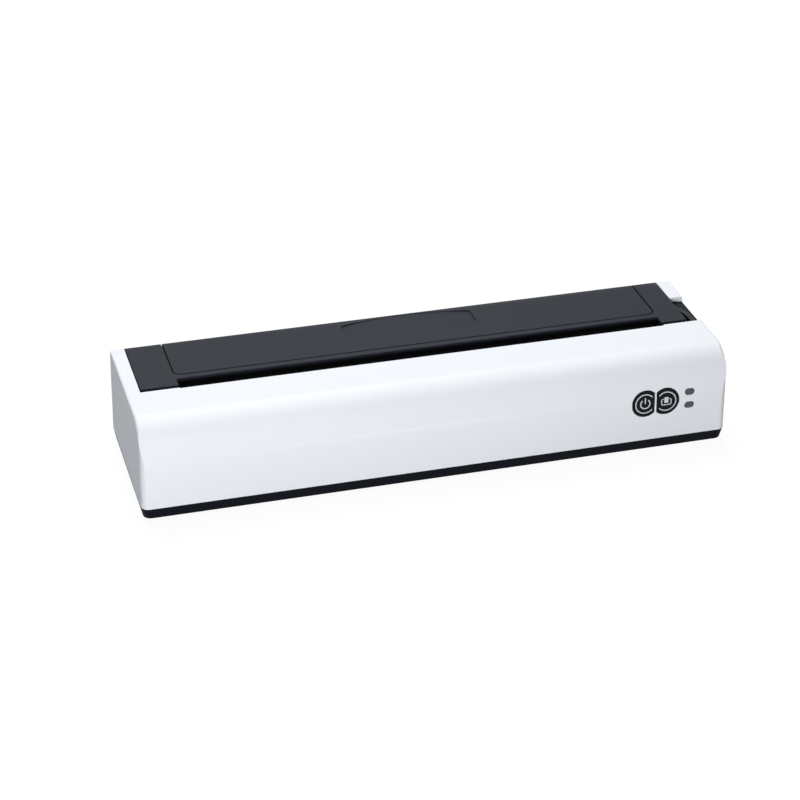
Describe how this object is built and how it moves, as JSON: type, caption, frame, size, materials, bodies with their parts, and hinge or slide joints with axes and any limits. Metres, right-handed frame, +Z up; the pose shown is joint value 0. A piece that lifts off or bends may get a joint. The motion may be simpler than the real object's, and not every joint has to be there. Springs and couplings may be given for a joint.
{
  "type": "portable thermal printer",
  "caption": "Slim page-width portable thermal printer with a rear-hinged black cover, paper slot, front buttons and a roll tray inside.",
  "frame": {"origin": "on the table under the middle of the casing's plan", "axes": "+X along the printer to the right of its front, +Y from the front to the back, +Z up"},
  "size_m": [0.261, 0.075, 0.044],
  "materials": {
    "white_shell": "fine satin white plastic",
    "black_base": "satin black plastic",
    "cover_black": "fine-textured charcoal plastic",
    "tray_black": "plain black plastic",
    "foot_rubber": "matt rubber",
    "platen_rubber": "ground rubber",
    "steel": "ground steel",
    "screw_steel": "blackened screw steel",
    "aluminium": "extruded aluminium",
    "gear_plastic": "natural acetal",
    "bush_plastic": "bearing plastic",
    "brass": "turned brass",
    "heater_ceramic": "glazed ceramic board",
    "chip_resin": "moulded resin",
    "board_green": "coated circuit board",
    "cell_wrap": "shrink sleeve",
    "cable_film": "flat film cable",
    "button_black": "satin black cap with a pale printed symbol",
    "lamp_grey": "smoked clear plastic, unlit",
    "switch_black": "moulded plastic",
    "diode_clear": "diode body"
  },
  "bodies": {
    "chassis": {"base_tray": "black_base", "upper_housing": "white_shell", "foot_pads": "foot_rubber", "base_screws": "screw_steel", "hinge_pins": "steel", "idler_axle": "steel", "stepper_motor": "steel", "head_beam": "steel", "head_springs": "steel", "head_cable": "cable_film", "left_frame_plate": "steel", "right_frame_plate": "steel", "tear_bar": "screw_steel", "paper_tray": "tray_black", "tray_ends": "tray_black", "paper_sensor": "switch_black", "cover_switch": "switch_black", "battery_pack": "cell_wrap", "main_board": "board_green", "board_parts": "chip_resin", "board_screws": "screw_steel", "control_board": "board_green", "push_switches": "switch_black", "lamp_lenses": "lamp_grey", "lamp_diodes": "diode_clear", "port_board": "board_green", "charging_socket": "steel", "side_insert": "tray_black", "lever_pin": "steel", "lever_spring": "steel"},
    "cover": {"cover_frame": "cover_black", "lid_panel": "cover_black", "platen_bracket": "steel", "bracket_screws": "screw_steel", "platen_bushes": "bush_plastic"},
    "platen": {"platen_shaft": "steel", "platen_rubber": "platen_rubber", "platen_gear": "gear_plastic", "shaft_clips": "screw_steel"},
    "idler": {"idler_gear": "gear_plastic"},
    "rotor": {"motor_shaft": "steel", "motor_pinion": "brass"},
    "head": {"head_heat_bar": "aluminium", "thermal_head": "heater_ceramic", "head_chip_cover": "chip_resin"},
    "release": {"release_lever": "switch_black"},
    "power": {"power_button": "button_black"},
    "feed": {"feed_button": "button_black"}
  },
  "joints": [
    {"name": "cover_hinge", "type": "hinge", "parent": "chassis", "child": "cover", "pos_m": [0, 0.035, 0.04105], "axis": [-1, 0, 0], "range_deg": [0, 95]},
    {"name": "platen_spin", "type": "hinge", "parent": "cover", "child": "platen", "pos_m": [0, 0.0032, 0.0342], "axis": [1, 0, 0], "continuous": true},
    {"name": "idler_spin", "type": "hinge", "parent": "chassis", "child": "idler", "pos_m": [-0.119, 0.00674, 0.01778], "axis": [1, 0, 0], "continuous": true},
    {"name": "motor_spin", "type": "hinge", "parent": "chassis", "child": "rotor", "pos_m": [-0.115, -0.00745, 0.0129], "axis": [1, 0, 0], "continuous": true},
    {"name": "head_pivot", "type": "hinge", "parent": "chassis", "child": "head", "pos_m": [0, -0.0021, 0.02376], "axis": [1, 0, 0], "range_deg": [0, 1.5], "stiffness_Nm_per_rad": 0.2, "springref_deg": -11.46},
    {"name": "release_turn", "type": "hinge", "parent": "chassis", "child": "release", "pos_m": [0.1245, 0.01, 0.02], "axis": [-1, 0, 0], "range_deg": [0, 6.5], "stiffness_Nm_per_rad": 0.002, "springref_deg": -17.19},
    {"name": "power_press", "type": "slide", "parent": "chassis", "child": "power", "axis": [0, 1, 0], "range_m": [0, 0.0005], "stiffness_N_per_m": 800, "springref_m": -0.0005},
    {"name": "feed_press", "type": "slide", "parent": "chassis", "child": "feed", "axis": [0, 1, 0], "range_m": [0, 0.0005], "stiffness_N_per_m": 800, "springref_m": -0.0005}
  ],
  "couplings": [
    {"joint": "idler_spin", "follows": "platen_spin", "ratio": -0.55556},
    {"joint": "motor_spin", "follows": "platen_spin", "ratio": 1.4286}
  ]
}
